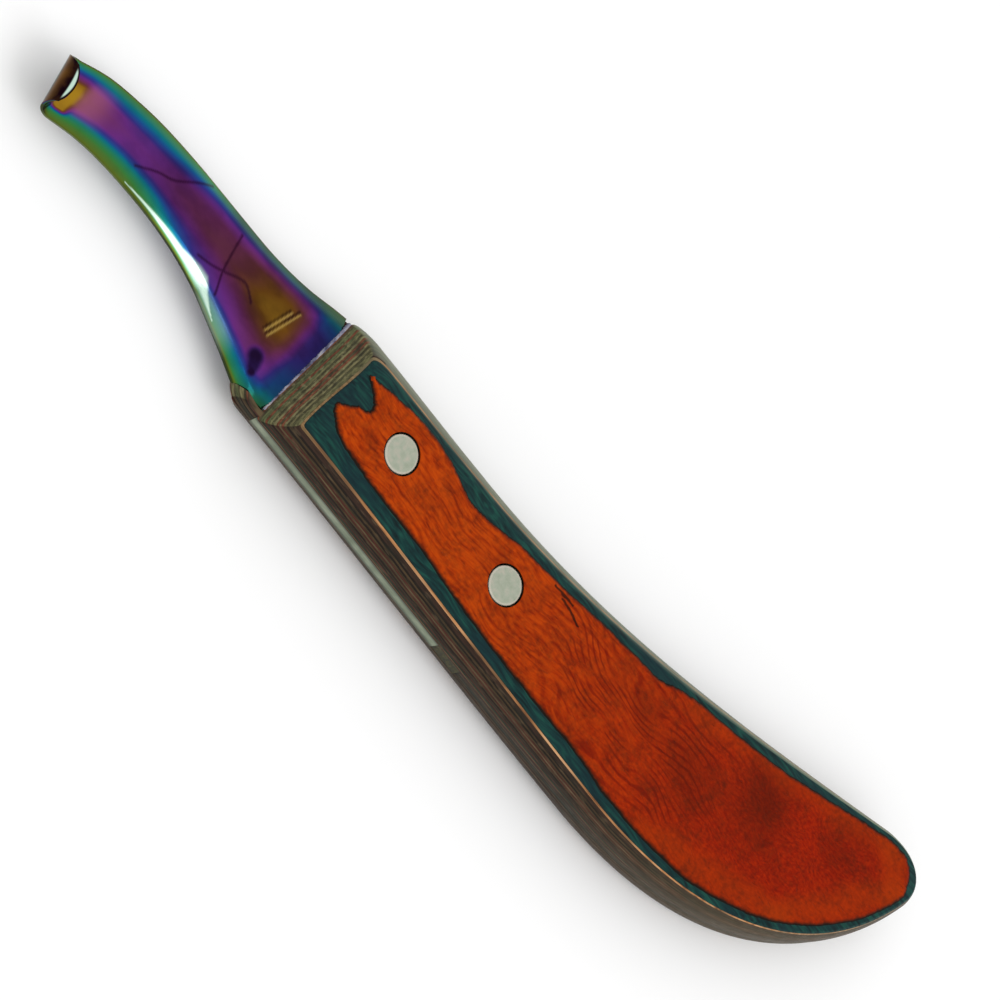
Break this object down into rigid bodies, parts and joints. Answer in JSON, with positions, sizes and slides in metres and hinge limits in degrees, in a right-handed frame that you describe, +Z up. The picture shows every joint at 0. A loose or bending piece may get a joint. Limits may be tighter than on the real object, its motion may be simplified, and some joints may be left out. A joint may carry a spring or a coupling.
{
  "type": "farrier's hoof knife",
  "caption": "Hooked hoof-trimming knife: a waisted, bevelled steel blade with its tip rolled up, held by rivets in the slot of a laminated wood handle.",
  "frame": {"origin": "on the face the handle lies on, midway between the two rivets", "axes": "+X from the hook towards the butt, +Y across towards the side that the butt sweeps to, +Z up out of the face that the hook rolls towards"},
  "size_m": [0.197, 0.0418, 0.0123],
  "materials": {
    "heat_coloured_steel": "polished steel with an iridescent oxide film running from purple through blue and teal to green and gold",
    "rivet_aluminium": "ground flush, fine scratches",
    "orange_veneer": "dyed orange-red, sanded and oiled",
    "teal_veneer": "dyed dark teal, sanded",
    "tan_veneer": "undyed light veneer, sanded",
    "brown_veneer": "dyed dark brown, sanded edge",
    "grey_veneer": "dyed grey-green, sanded edge"
  },
  "bodies": {
    "root": {"blade": "heat_coloured_steel", "front_rivet": "rivet_aluminium", "rear_rivet": "rivet_aluminium", "upper_face_veneer": "orange_veneer", "upper_rim_veneer": "teal_veneer", "upper_line_veneer": "tan_veneer", "upper_core_veneer_1": "brown_veneer", "upper_core_veneer_2": "grey_veneer", "upper_core_veneer_3": "brown_veneer", "upper_core_veneer_4": "grey_veneer", "upper_core_veneer_5": "brown_veneer", "upper_core_veneer_6": "grey_veneer", "upper_core_veneer_7": "brown_veneer", "upper_core_veneer_8": "grey_veneer", "upper_core_veneer_9": "brown_veneer", "lower_face_veneer": "orange_veneer", "lower_rim_veneer": "teal_veneer", "lower_line_veneer": "tan_veneer", "lower_core_veneer_1": "brown_veneer", "lower_core_veneer_2": "grey_veneer", "lower_core_veneer_3": "brown_veneer", "lower_core_veneer_4": "grey_veneer", "lower_core_veneer_5": "brown_veneer", "lower_core_veneer_6": "grey_veneer", "lower_core_veneer_7": "brown_veneer", "lower_core_veneer_8": "grey_veneer", "lower_core_veneer_9": "brown_veneer", "middle_veneer_1": "grey_veneer", "middle_veneer_2": "brown_veneer", "middle_veneer_3": "grey_veneer", "middle_veneer_4": "brown_veneer", "middle_veneer_5": "grey_veneer"}
  },
  "joints": []
}
